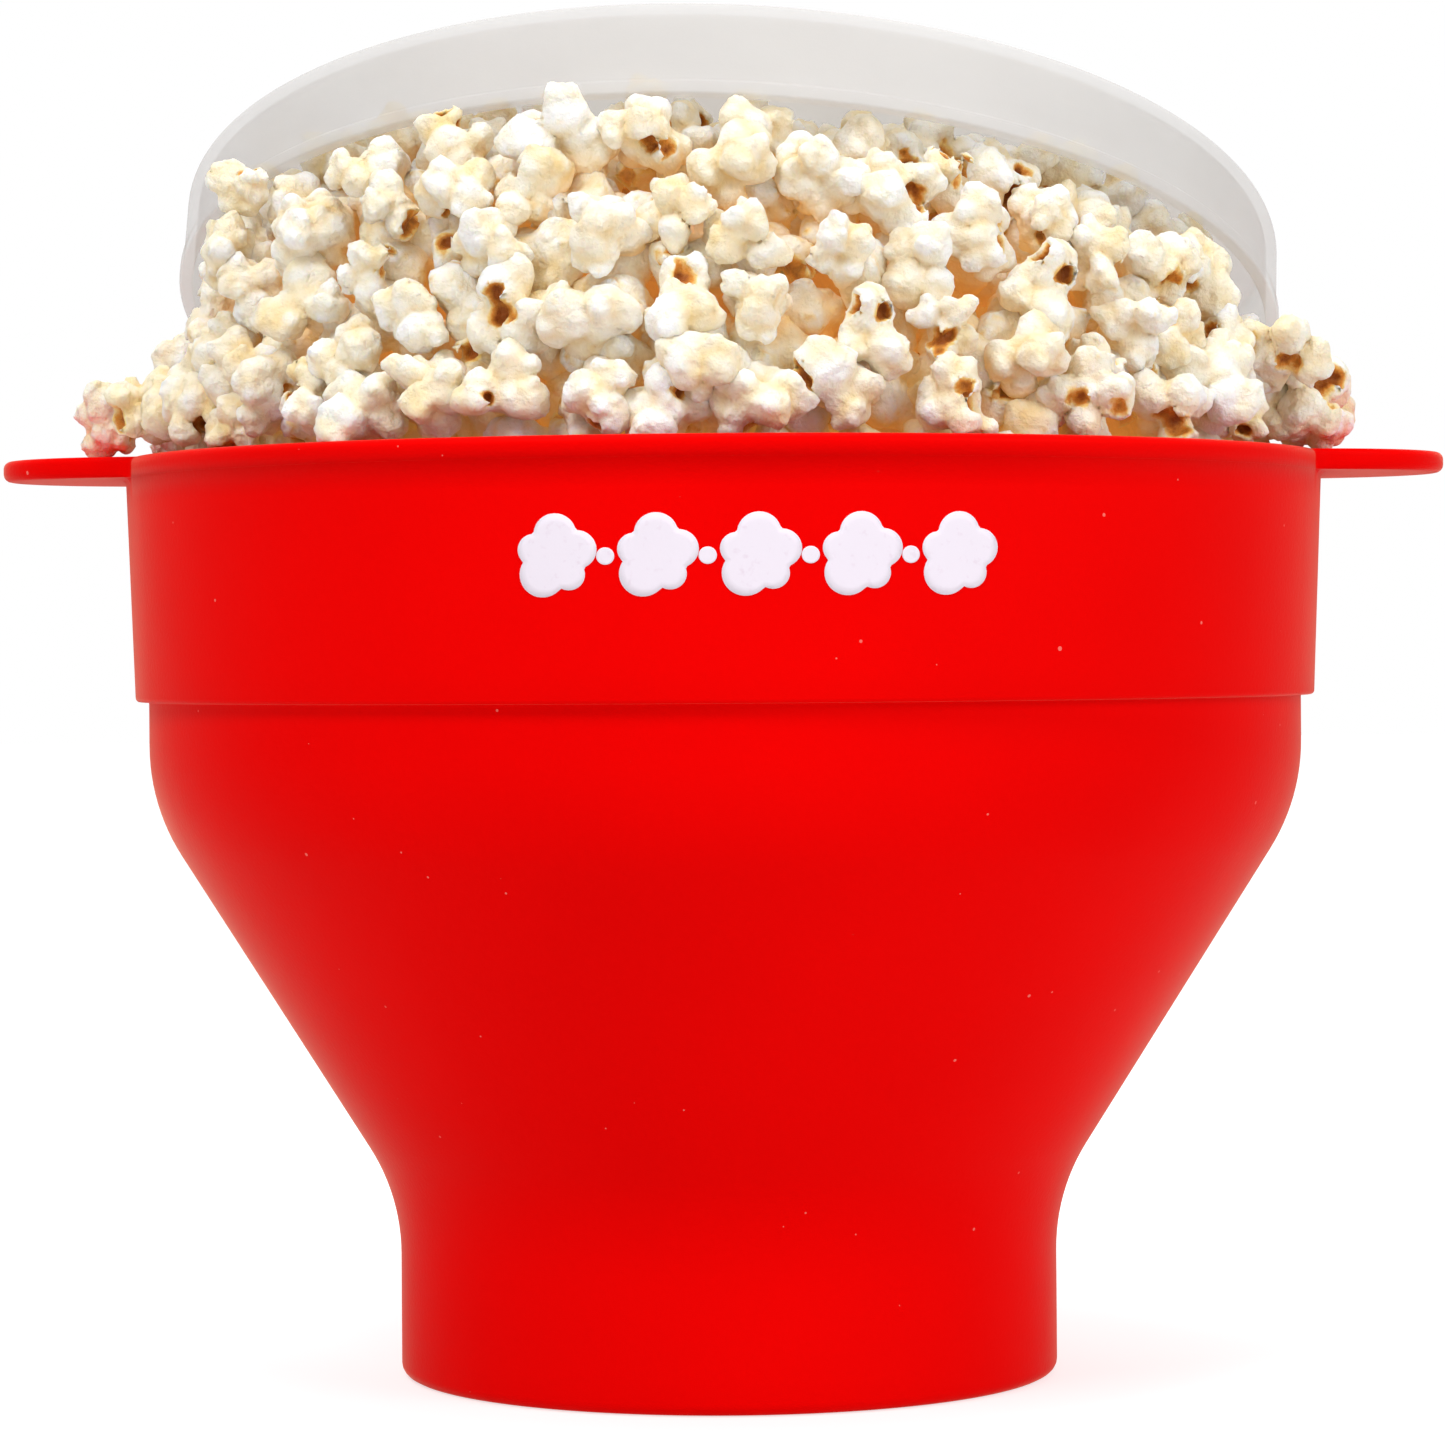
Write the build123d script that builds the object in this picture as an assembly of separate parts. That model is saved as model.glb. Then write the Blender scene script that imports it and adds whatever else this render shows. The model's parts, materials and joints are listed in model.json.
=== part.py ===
from build123d import *
import math
import os

# A collapsible popcorn bowl of moulded silicone with a loose frosted lid.
# Origin: centre of the flat foot, on the surface the bowl stands on. +Z is up, +X runs
# through the right handle, -Y is the front. Millimetres.
# The bowl is one soft moulding. Its conical web rolls up when the rim band is pushed down
# over the cup, so the web is a nest of rings here, each free to slide in a lane of its own.

# Bowl, outside
RIM_DIAMETER = 200.0
BOWL_HEIGHT = 153.2
CUP_DIAMETER = 110.0
CUP_HEIGHT = 30.0
BAND_HEIGHT = 40.3
BAND_DRAFT = 1.5
STEP_DEPTH = 2.2
SHOULDER_DROP = 17.3
NECK_RADIUS = 34.0
SHOULDER_RADIUS = 34.0

# Bowl, walls and edges
CUP_WALL = 2.8
FLOOR_THICKNESS = 4.0
WEB_WALL = 2.2
BAND_WALL = 2.8
FOOT_ROUND = 2.0
FLOOR_ROUND = 6.0
STEP_ROUND = 0.7
RIM_ROUND = 1.2

# Fold
FOLD_RINGS = 8
LANE_GAP = 0.3
NECK_LANE_START = 3.4
SHOULDER_LANE_END = 3.8

# Handles
HANDLE_REACH = 21.0
HANDLE_RADIUS = 24.0
HANDLE_THICKNESS = 3.4
HANDLE_ROUND = 1.3

# Lid, and how it lies on a heaped bowl: hooked over the rear rim with its front held up
LID_CLEARANCE = 1.4
LID_HEIGHT = 16.7
LID_WALL = 1.8
LID_TOP_ROUND = 3.2
LID_BEAD = 0.5
LID_BEAD_HEIGHT = 2.0
LID_TILT_DEG = 18.7
LID_LEAN_DEG = 3.0
LID_SIDE_SHIFT = 1.0
LID_BACK_SHIFT = 20.0
LID_HOOK_DEPTH = 3.6

# Places that follow from the sizes above
RIM_RADIUS = RIM_DIAMETER / 2
CUP_RADIUS = CUP_DIAMETER / 2
STEP_HEIGHT = BOWL_HEIGHT - BAND_HEIGHT
BAND_FOOT_RADIUS = RIM_RADIUS - BAND_DRAFT
LEDGE_RADIUS = BAND_FOOT_RADIUS - BAND_WALL
SHOULDER_OUTER = BAND_FOOT_RADIUS - STEP_DEPTH
SHOULDER_CORNER = STEP_HEIGHT - SHOULDER_DROP
WEB_SLOPE = math.atan2(SHOULDER_OUTER - CUP_RADIUS, SHOULDER_CORNER - CUP_HEIGHT)
LANE_INNER = CUP_RADIUS + NECK_LANE_START
LANE_OUTER = SHOULDER_OUTER - SHOULDER_LANE_END
LID_RADIUS = LEDGE_RADIUS - LID_CLEARANCE
LID_DROP_TO_REAR = (RIM_RADIUS - LID_BACK_SHIFT) * math.tan(math.radians(LID_TILT_DEG))
LID_RISE = LID_DROP_TO_REAR - LID_HOOK_DEPTH


def ring_section(points):
    """A closed outline in the XZ plane, from corners of radius and height."""
    return Polyline(*[(radius, 0, height) for radius, height in points], close=True)


def corner(face, radius, height):
    """The corner of a section nearest to a radius and a height."""
    place = Vector(radius, 0, height)
    return min(face.vertices(), key=lambda vertex: (Vector(vertex) - place).length)


def rounded(face, corners):
    """A section with its corners rounded, each given as (radius, height, size)."""
    for radius, height, size in corners:
        face = face.fillet_2d(size, [corner(face, radius, height)])
    return face


def bowl():
    """The whole silicone moulding without its handles, turned about Z."""
    cup_inside = CUP_RADIUS - CUP_WALL
    shoulder_inside = SHOULDER_OUTER - WEB_WALL
    web_level = WEB_WALL / math.sin(WEB_SLOPE)
    neck_inside = CUP_HEIGHT + web_level - CUP_WALL / math.tan(WEB_SLOPE)
    shoulder_inside_corner = SHOULDER_CORNER + web_level - WEB_WALL / math.tan(WEB_SLOPE)
    ledge_height = STEP_HEIGHT + WEB_WALL
    mouth_radius = RIM_RADIUS - BAND_WALL
    section = Face(
        Wire(
            ring_section(
                [
                    (0, 0),
                    (CUP_RADIUS, 0),
                    (CUP_RADIUS, CUP_HEIGHT),
                    (SHOULDER_OUTER, SHOULDER_CORNER),
                    (SHOULDER_OUTER, STEP_HEIGHT),
                    (BAND_FOOT_RADIUS, STEP_HEIGHT),
                    (RIM_RADIUS, BOWL_HEIGHT),
                    (mouth_radius, BOWL_HEIGHT),
                    (LEDGE_RADIUS, ledge_height),
                    (shoulder_inside, ledge_height),
                    (shoulder_inside, shoulder_inside_corner),
                    (cup_inside, neck_inside),
                    (cup_inside, FLOOR_THICKNESS),
                    (0, FLOOR_THICKNESS),
                ]
            )
        )
    )
    section = rounded(
        section,
        [
            (CUP_RADIUS, 0, FOOT_ROUND),
            (CUP_RADIUS, CUP_HEIGHT, NECK_RADIUS),
            (SHOULDER_OUTER, SHOULDER_CORNER, SHOULDER_RADIUS),
            (BAND_FOOT_RADIUS, STEP_HEIGHT, STEP_ROUND),
            (RIM_RADIUS, BOWL_HEIGHT, RIM_ROUND),
            (mouth_radius, BOWL_HEIGHT, RIM_ROUND),
            (shoulder_inside, ledge_height, STEP_ROUND),
            (shoulder_inside, shoulder_inside_corner, SHOULDER_RADIUS - WEB_WALL),
            (cup_inside, neck_inside, NECK_RADIUS + WEB_WALL),
            (cup_inside, FLOOR_THICKNESS, FLOOR_ROUND),
        ],
    )
    return revolve(section, Axis.Z, 360)


def lane(inner, outer, bottom=0.0, top=BOWL_HEIGHT):
    """An upright tube of space, closed at the centre when inner is 0."""
    height = top - bottom
    outside = Cylinder(outer, height, align=(Align.CENTER, Align.CENTER, Align.MIN))
    if inner > 0:
        outside -= Cylinder(inner, height, align=(Align.CENTER, Align.CENTER, Align.MIN))
    return Pos(0, 0, bottom) * outside


def base_cup(moulding):
    """The rigid cup and the start of the neck: what stands on the table."""
    return moulding & lane(0, LANE_INNER - LANE_GAP / 2)


def fold_ring(moulding, number):
    """One ring of the conical web, counted from the neck outwards."""
    width = (LANE_OUTER - LANE_INNER) / FOLD_RINGS
    inner = LANE_INNER + (number - 1) * width
    return moulding & lane(inner + LANE_GAP / 2, inner + width - LANE_GAP / 2)


def shoulder(moulding):
    """The rounded top of the web, up to the step under the rim band."""
    return moulding & lane(LANE_OUTER + LANE_GAP / 2, RIM_RADIUS, 0, STEP_HEIGHT)


def rim_band(moulding):
    """The upright band above the step, with the ledge inside and the rounded rim."""
    return moulding & lane(LANE_OUTER + LANE_GAP / 2, RIM_RADIUS, STEP_HEIGHT, BOWL_HEIGHT)


def handle(side):
    """A flat rounded tab level with the rim; side is 1 for right and -1 for left."""
    centre = side * (RIM_RADIUS + HANDLE_REACH - HANDLE_RADIUS)
    low = BOWL_HEIGHT - HANDLE_THICKNESS
    tab = Pos(centre, 0, low) * Cylinder(
        HANDLE_RADIUS, HANDLE_THICKNESS, align=(Align.CENTER, Align.CENTER, Align.MIN)
    )
    tab = fillet(tab.edges().filter_by(GeomType.CIRCLE), HANDLE_ROUND)
    band_outside = revolve(
        Face(
            Wire(
                ring_section(
                    [
                        (0, STEP_HEIGHT),
                        (BAND_FOOT_RADIUS, STEP_HEIGHT),
                        (RIM_RADIUS, BOWL_HEIGHT),
                        (0, BOWL_HEIGHT),
                    ]
                )
            )
        ),
        Axis.Z,
        360,
    )
    pieces = (tab - band_outside).solids()
    return pieces.sort_by(Axis.X)[-1 if side > 0 else 0]


def lid_cap():
    """The whole lid before it is laid down: a shallow round cap, open side down."""
    wall_outside = LID_RADIUS - LID_BEAD
    wall_inside = wall_outside - LID_WALL
    section = Face(
        Wire(
            ring_section(
                [
                    (0, LID_HEIGHT - LID_WALL),
                    (wall_inside, LID_HEIGHT - LID_WALL),
                    (wall_inside, 0),
                    (LID_RADIUS, 0),
                    (LID_RADIUS, LID_BEAD_HEIGHT),
                    (wall_outside, LID_BEAD_HEIGHT + LID_BEAD),
                    (wall_outside, LID_HEIGHT),
                    (0, LID_HEIGHT),
                ]
            )
        )
    )
    section = rounded(
        section,
        [
            (wall_outside, LID_HEIGHT, LID_TOP_ROUND),
            (wall_inside, LID_HEIGHT - LID_WALL, LID_TOP_ROUND - LID_WALL),
        ],
    )
    return revolve(section, Axis.Z, 360)


def laid_down(solid):
    """A piece of the lid, tilted and hooked over the rear rim."""
    turned = Rot(0, LID_LEAN_DEG, 0) * Rot(-LID_TILT_DEG, 0, 0) * solid
    return Pos(LID_SIDE_SHIFT, LID_BACK_SHIFT, BOWL_HEIGHT + LID_RISE) * turned


def lid_panel(cap):
    """The flat top of the lid with its rounded outer edge."""
    return laid_down(cap & lane(0, LID_RADIUS, LID_HEIGHT - LID_WALL, LID_HEIGHT))


def lid_skirt(cap):
    """The upright wall of the lid with the bead round its open edge."""
    return laid_down(cap & lane(0, LID_RADIUS, 0, LID_HEIGHT - LID_WALL))


moulding = bowl()
nodes = {"base_cup": base_cup(moulding)}
for number in range(1, FOLD_RINGS + 1):
    nodes[f"fold_ring_{number}"] = fold_ring(moulding, number)
nodes["shoulder"] = shoulder(moulding)
nodes["rim_band"] = rim_band(moulding)
nodes["handle_right"] = handle(1)
nodes["handle_left"] = handle(-1)
cap = lid_cap()
nodes["lid_panel"] = lid_panel(cap)
nodes["lid_skirt"] = lid_skirt(cap)

os.makedirs("parts", exist_ok=True)
for name, solid in nodes.items():
    export_step(solid, f"parts/{name}.step")
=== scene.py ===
import json
import math

import bmesh
import bpy
import numpy as np
from mathutils import Euler, Matrix, Vector

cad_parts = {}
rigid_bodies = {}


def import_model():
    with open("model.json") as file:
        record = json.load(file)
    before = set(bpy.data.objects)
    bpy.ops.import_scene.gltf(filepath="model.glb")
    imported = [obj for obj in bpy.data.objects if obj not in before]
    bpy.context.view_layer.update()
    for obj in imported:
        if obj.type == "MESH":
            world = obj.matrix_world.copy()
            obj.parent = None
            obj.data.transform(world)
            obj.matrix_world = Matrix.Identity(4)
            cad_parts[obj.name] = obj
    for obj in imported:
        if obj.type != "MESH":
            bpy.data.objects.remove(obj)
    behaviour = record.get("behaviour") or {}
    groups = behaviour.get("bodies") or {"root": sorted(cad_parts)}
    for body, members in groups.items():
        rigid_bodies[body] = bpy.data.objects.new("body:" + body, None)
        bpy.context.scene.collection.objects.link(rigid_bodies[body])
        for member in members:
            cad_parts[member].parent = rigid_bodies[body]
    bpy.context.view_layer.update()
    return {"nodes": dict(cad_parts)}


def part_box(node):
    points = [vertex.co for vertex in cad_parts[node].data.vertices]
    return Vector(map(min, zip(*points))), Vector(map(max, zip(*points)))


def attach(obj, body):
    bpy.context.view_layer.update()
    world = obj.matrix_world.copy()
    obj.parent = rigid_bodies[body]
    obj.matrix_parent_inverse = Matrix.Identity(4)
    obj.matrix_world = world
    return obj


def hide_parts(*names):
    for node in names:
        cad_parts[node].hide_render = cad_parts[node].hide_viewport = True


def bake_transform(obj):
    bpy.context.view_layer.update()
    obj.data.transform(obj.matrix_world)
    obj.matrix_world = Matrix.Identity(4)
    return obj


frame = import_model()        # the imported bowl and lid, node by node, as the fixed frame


# ---------------------------------------------------------------------------------------
# The red bowl: one moulding of soft silicone, with its rounded rim, step, conical web, cup
# foot and two tab handles all of a piece. The web rolls up when the rim is pushed down over
# the cup. The satin skin is the mould's own, and picks up fine pale dust.
# ---------------------------------------------------------------------------------------

MM = 0.001
rim_low, rim_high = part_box("rim_band")
RIM_TOP = rim_high.z
STEP_HEIGHT = rim_low.z
RIM_RADIUS = 100 * MM
BAND_FOOT_RADIUS = 98.5 * MM
SHOULDER_RADIUS = 96.3 * MM
SHOULDER_DROP = 17.3 * MM
SHOULDER_CORNER = STEP_HEIGHT - SHOULDER_DROP
CUP_RADIUS = 55 * MM
CUP_HEIGHT = 30 * MM
BAND_WALL = 2.8 * MM
WEB_WALL = 2.2 * MM
CUP_WALL = 2.8 * MM
FLOOR_THICKNESS = 4 * MM
NECK_ROUND = 34 * MM
SHOULDER_ROUND = 34 * MM
RIM_ROUND = 1.2 * MM
HANDLE_CENTRE = 97 * MM
HANDLE_RADIUS = 24 * MM
HANDLE_THICKNESS = 3.4 * MM
WEB_ANGLE = math.atan2(SHOULDER_RADIUS - CUP_RADIUS, SHOULDER_CORNER - CUP_HEIGHT)


def handle_reach(angle):
    """How far the tab handles stand out of the rim at an angle round the bowl. The edge
    eases into the rim at the handle's roots."""
    off = abs(math.remainder(angle, math.pi))
    across = HANDLE_CENTRE * math.sin(off)
    if across < HANDLE_RADIUS and off < math.pi / 4:
        tip = HANDLE_CENTRE * math.cos(off) + math.sqrt(HANDLE_RADIUS**2 - across**2)
        past = tip - RIM_RADIUS
    else:
        past = -6 * MM - (across - HANDLE_RADIUS)
    root_round = 2 * MM
    return max(0.0, (past + math.hypot(past, root_round)) / 2 - 0.15 * MM)


def rounded_line(corners):
    """Points along a line of (radius, height, rounding, steps in the arc, steps after it)."""
    points = []
    for i, (r, z, size, arc_steps, run_steps) in enumerate(corners):
        here = Vector((r, z))
        if 0 < i < len(corners) - 1:
            before = Vector(corners[i - 1][:2]) - here
            after = Vector(corners[i + 1][:2]) - here
            if size > 0 and before.length > 0 and after.length > 0:
                half = before.angle(after) / 2
                reach = size / math.tan(half)
                centre = here + (before.normalized() + after.normalized()).normalized() * (
                    size / math.sin(half)
                )
                first = here + before.normalized() * reach - centre
                last = here + after.normalized() * reach - centre
                turn = first.angle_signed(last)
                arc = [
                    centre + Matrix.Rotation(-turn * k / arc_steps, 2) @ first
                    for k in range(arc_steps + 1)
                ]
            else:
                arc = [here] * (arc_steps + 1)
        else:
            arc = [here]
        if points:
            start, steps = points[-1], corners[i - 1][4]
            points += [start.lerp(arc[0], k / steps) for k in range(1, steps)]
        points += arc
    return points


def bowl_line(reach):
    """The bowl's section from the middle of the foot round the rim to the middle of the
    floor, with the rim drawn out by reach where a handle stands."""
    level = WEB_WALL / math.sin(WEB_ANGLE)
    lean = 1 / math.tan(WEB_ANGLE)
    shoulder_inside = SHOULDER_RADIUS - WEB_WALL
    shoulder_corner_inside = SHOULDER_CORNER + level - WEB_WALL * lean
    cup_inside = CUP_RADIUS - CUP_WALL
    neck_corner_inside = CUP_HEIGHT + level - CUP_WALL * lean
    under = RIM_TOP - HANDLE_THICKNESS
    slope = (RIM_RADIUS - BAND_FOOT_RADIUS) / (RIM_TOP - STEP_HEIGHT)
    under_radius = RIM_RADIUS - slope * HANDLE_THICKNESS
    tip = RIM_RADIUS + reach
    edge = min(1.3 * MM, 0.45 * reach)
    return rounded_line(
        [
            (0, 0, 0, 1, 4),
            (CUP_RADIUS, 0, 2 * MM, 5, 5),
            (CUP_RADIUS, CUP_HEIGHT, NECK_ROUND, 12, 14),
            (SHOULDER_RADIUS, SHOULDER_CORNER, SHOULDER_ROUND, 12, 2),
            (SHOULDER_RADIUS, STEP_HEIGHT, 0.3 * MM, 3, 1),
            (BAND_FOOT_RADIUS, STEP_HEIGHT, 0.7 * MM, 4, 8),
            (under_radius, under, min(1 * MM, 0.45 * reach), 3, 4),
            (tip, under, edge, 4, 1),
            (tip, RIM_TOP, RIM_ROUND, 6, 5),
            (RIM_RADIUS - BAND_WALL, RIM_TOP, RIM_ROUND, 6, 6),
            (BAND_FOOT_RADIUS - BAND_WALL, STEP_HEIGHT + WEB_WALL, 0.5 * MM, 3, 1),
            (shoulder_inside, STEP_HEIGHT + WEB_WALL, 0.7 * MM, 4, 2),
            (shoulder_inside, shoulder_corner_inside, SHOULDER_ROUND - WEB_WALL, 12, 12),
            (cup_inside, neck_corner_inside, NECK_ROUND + WEB_WALL, 12, 3),
            (cup_inside, FLOOR_THICKNESS, 6 * MM, 6, 4),
            (0, FLOOR_THICKNESS, 0, 1, 1),
        ]
    )


def round_angles():
    """Angles round the bowl, closer together where the handles leave the rim."""
    fine = [math.radians(a / 2) for a in range(-38, 39)]
    coarse = [math.radians(19 + 142 * k / 72) for k in range(1, 72)]
    half = fine + coarse
    return half + [a + math.pi for a in half]


def turned_mesh(name, angles, line_at):
    """A closed mesh turned about Z, whose section may change with the angle. Both ends of
    the section lie on the axis, and each becomes one point."""
    lines = [line_at(angle) for angle in angles]
    verts, faces = [], []
    inner = len(lines[0]) - 2
    for angle, line in zip(angles, lines):
        spin = (math.cos(angle), math.sin(angle))
        verts += [(p.x * spin[0], p.x * spin[1], p.y) for p in line[1:-1]]
    start, end = len(verts), len(verts) + 1
    verts += [(0, 0, lines[0][0].y), (0, 0, lines[0][-1].y)]
    for i in range(len(angles)):
        a, b = i * inner, (i + 1) % len(angles) * inner
        faces.append((start, b, a))
        faces.append((end, a + inner - 1, b + inner - 1))
        faces += [(a + k, b + k, b + k + 1, a + k + 1) for k in range(inner - 1)]
    mesh = bpy.data.meshes.new(name)
    mesh.from_pydata(verts, [], faces)
    mesh.update()
    return mesh


def finished(mesh, material):
    """An object for a mesh: doubles merged, faces outwards, shaded smooth."""
    work = bmesh.new()
    work.from_mesh(mesh)
    bmesh.ops.remove_doubles(work, verts=work.verts, dist=0.002 * MM)
    bmesh.ops.dissolve_degenerate(work, edges=work.edges, dist=0.002 * MM)
    bmesh.ops.recalc_face_normals(work, faces=work.faces)
    work.to_mesh(mesh)
    work.free()
    mesh.shade_smooth()
    mesh.materials.clear()
    mesh.materials.append(material)
    piece = bpy.data.objects.new(mesh.name, mesh)
    bpy.context.scene.collection.objects.link(piece)
    return piece


def group_tree(name, inputs, outputs):
    """An empty shader node group with named sockets, and its two end nodes."""
    tree = bpy.data.node_groups.new(name, "ShaderNodeTree")
    for label, kind, value in inputs:
        socket = tree.interface.new_socket(label, in_out="INPUT", socket_type=kind)
        socket.default_value = value
    for label, kind in outputs:
        tree.interface.new_socket(label, in_out="OUTPUT", socket_type=kind)
    return tree, tree.nodes.new("NodeGroupInput"), tree.nodes.new("NodeGroupOutput")


def node(tree, kind, values=None, **settings):
    """A node with its settings, and its inputs set by name or number."""
    made = tree.nodes.new(kind)
    for key, value in settings.items():
        setattr(made, key, value)
    for key, value in (values or {}).items():
        made.inputs[key].default_value = value
    return made


def moulded_skin_group():
    """Fine grain and slow unevenness of a moulded skin: a height and a roughness."""
    tree, given, out = group_tree(
        "moulded_skin",
        [
            ("Grain Size", "NodeSocketFloat", 900.0),
            ("Grain Depth", "NodeSocketFloat", 0.3),
            ("Wave Depth", "NodeSocketFloat", 1.0),
            ("Roughness", "NodeSocketFloat", 0.45),
            ("Roughness Spread", "NodeSocketFloat", 0.08),
        ],
        [("Height", "NodeSocketFloat"), ("Roughness", "NodeSocketFloat")],
    )
    link = tree.links.new
    place = node(tree, "ShaderNodeTexCoord")
    grain = node(tree, "ShaderNodeTexNoise", {"Detail": 2.0})
    wave = node(tree, "ShaderNodeTexNoise", {"Scale": 22.0, "Detail": 1.0})
    smear = node(tree, "ShaderNodeTexNoise", {"Scale": 60.0, "Detail": 4.0, "Roughness": 0.6})
    for texture in (grain, wave, smear):
        link(place.outputs["Object"], texture.inputs["Vector"])
    link(given.outputs["Grain Size"], grain.inputs["Scale"])
    fine = node(tree, "ShaderNodeMath", operation="MULTIPLY")
    slow = node(tree, "ShaderNodeMath", operation="MULTIPLY_ADD")
    link(grain.outputs["Fac"], fine.inputs[0])
    link(given.outputs["Grain Depth"], fine.inputs[1])
    link(wave.outputs["Fac"], slow.inputs[0])
    link(given.outputs["Wave Depth"], slow.inputs[1])
    link(fine.outputs[0], slow.inputs[2])
    centred = node(tree, "ShaderNodeMath", {1: 0.5}, operation="SUBTRACT")
    spread = node(tree, "ShaderNodeMath", operation="MULTIPLY_ADD")
    link(smear.outputs["Fac"], centred.inputs[0])
    link(centred.outputs[0], spread.inputs[0])
    link(given.outputs["Roughness Spread"], spread.inputs[1])
    link(given.outputs["Roughness"], spread.inputs[2])
    link(slow.outputs[0], out.inputs["Height"])
    link(spread.outputs[0], out.inputs["Roughness"])
    return tree


def dust_group():
    """Scattered pale specks: a mask that is 1 on a speck."""
    tree, given, out = group_tree(
        "dust_specks",
        [
            ("Spacing", "NodeSocketFloat", 260.0),
            ("Speck Size", "NodeSocketFloat", 0.09),
            ("Share", "NodeSocketFloat", 0.25),
        ],
        [("Mask", "NodeSocketFloat")],
    )
    link = tree.links.new
    place = node(tree, "ShaderNodeTexCoord")
    cells = node(tree, "ShaderNodeTexVoronoi", feature="F1")
    link(place.outputs["Object"], cells.inputs["Vector"])
    link(given.outputs["Spacing"], cells.inputs["Scale"])
    split = node(tree, "ShaderNodeSeparateColor")
    link(cells.outputs["Color"], split.inputs["Color"])
    near = node(tree, "ShaderNodeMath", operation="LESS_THAN")
    link(cells.outputs["Distance"], near.inputs[0])
    size = node(tree, "ShaderNodeMath", operation="MULTIPLY")
    link(given.outputs["Speck Size"], size.inputs[0])
    link(split.outputs["Green"], size.inputs[1])
    link(size.outputs[0], near.inputs[1])
    kept = node(tree, "ShaderNodeMath", operation="LESS_THAN")
    link(split.outputs["Red"], kept.inputs[0])
    link(given.outputs["Share"], kept.inputs[1])
    mask = node(tree, "ShaderNodeMath", operation="MULTIPLY")
    link(near.outputs[0], mask.inputs[0])
    link(kept.outputs[0], mask.inputs[1])
    link(mask.outputs[0], out.inputs["Mask"])
    return tree


MOULDED_SKIN = moulded_skin_group()
DUST_SPECKS = dust_group()


def new_material(name, **sockets):
    """A material with its Principled shader, and constants on the shader's own sockets."""
    material = bpy.data.materials.new(name)
    material.use_nodes = True
    shader = material.node_tree.nodes["Principled BSDF"]
    for key, value in sockets.items():
        shader.inputs[key.replace("_", " ")].default_value = value
    return material, material.node_tree, shader


def placed_group(tree, group, **values):
    """A shader group placed in a material, with its own values."""
    made = tree.nodes.new("ShaderNodeGroup")
    made.node_tree = group
    for key, value in values.items():
        made.inputs[key.replace("_", " ")].default_value = value
    return made


def bump_from(tree, shader, height, distance, strength=1.0):
    """Feeds a height into the shader's normal."""
    bump = node(tree, "ShaderNodeBump", {"Strength": strength, "Distance": distance})
    tree.links.new(height, bump.inputs["Height"])
    tree.links.new(bump.outputs["Normal"], shader.inputs["Normal"])


def red_silicone():
    """Satin red silicone: hardly any gloss face on, and a paler sheen where it turns away."""
    material, tree, shader = new_material(
        "red_silicone",
        IOR=1.4,
        Specular_IOR_Level=0.02,
        Sheen_Weight=0.5,
        Sheen_Roughness=0.25,
        Sheen_Tint=(1.0, 0.62, 0.42, 1),
    )
    link = tree.links.new
    skin = placed_group(
        tree, MOULDED_SKIN, Grain_Size=1500.0, Grain_Depth=0.2, Wave_Depth=1.2,
        Roughness=0.46, Roughness_Spread=0.12,
    )
    dust = placed_group(tree, DUST_SPECKS, Spacing=260.0, Speck_Size=0.095, Share=0.32)
    place = node(tree, "ShaderNodeTexCoord")
    cloud = node(tree, "ShaderNodeTexNoise", {"Scale": 14.0, "Detail": 2.0})
    link(place.outputs["Object"], cloud.inputs["Vector"])
    red = node(tree, "ShaderNodeValToRGB")
    red.color_ramp.elements[0].position = 0.3
    red.color_ramp.elements[0].color = (0.80, 0.0001, 0.0001, 1)
    red.color_ramp.elements[1].position = 0.7
    red.color_ramp.elements[1].color = (0.87, 0.0003, 0.0002, 1)
    link(cloud.outputs["Fac"], red.inputs["Fac"])
    dusty = node(tree, "ShaderNodeMix", data_type="RGBA")
    dusty.inputs[7].default_value = (0.9, 0.16, 0.13, 1)
    link(dust.outputs["Mask"], dusty.inputs[0])
    link(red.outputs["Color"], dusty.inputs[6])
    link(dusty.outputs[2], shader.inputs["Base Color"])
    link(skin.outputs["Roughness"], shader.inputs["Roughness"])
    bump_from(tree, shader, skin.outputs["Height"], 0.2 * MM)
    return material


RED_SILICONE = red_silicone()

bowl = finished(
    turned_mesh("bowl_moulding", round_angles(), lambda angle: bowl_line(handle_reach(angle))),
    RED_SILICONE,
)
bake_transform(bowl)
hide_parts("base_cup", "shoulder", "rim_band", "handle_right", "handle_left")
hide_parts(*[name for name in frame["nodes"] if name.startswith("fold_ring_")])


# ---------------------------------------------------------------------------------------
# The mark on the band: a plain row of puffs and dots in white ink, pad printed on the
# cured silicone, so it is a skin a tenth of a millimetre thick that follows the band.
# ---------------------------------------------------------------------------------------

PRINT_MIDDLE = 135 * MM
PRINT_SHIFT = 5 * MM
PRINT_PITCH = 14.6 * MM
PUFF_RADIUS = 6.4 * MM
DOT_RADIUS = 1.3 * MM
INK_THICKNESS = 0.1 * MM


def shape_tree(name, inputs):
    """An empty Geometry Nodes tree with named inputs, and its two end nodes."""
    tree = bpy.data.node_groups.new(name, "GeometryNodeTree")
    tree.interface.new_socket("Geometry", in_out="INPUT", socket_type="NodeSocketGeometry")
    for label, kind in inputs:
        tree.interface.new_socket(label, in_out="INPUT", socket_type=kind)
    tree.interface.new_socket("Geometry", in_out="OUTPUT", socket_type="NodeSocketGeometry")
    return tree, tree.nodes.new("NodeGroupInput"), tree.nodes.new("NodeGroupOutput")


def calculated(tree, operation, first, second):
    """A Math node in a tree, fed by sockets or numbers; gives its result."""
    made = tree.nodes.new("ShaderNodeMath")
    made.operation = operation
    for slot, value in enumerate((first, second)):
        if isinstance(value, bpy.types.NodeSocket):
            tree.links.new(value, made.inputs[slot])
        else:
            made.inputs[slot].default_value = value
    return made.outputs[0]


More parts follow.
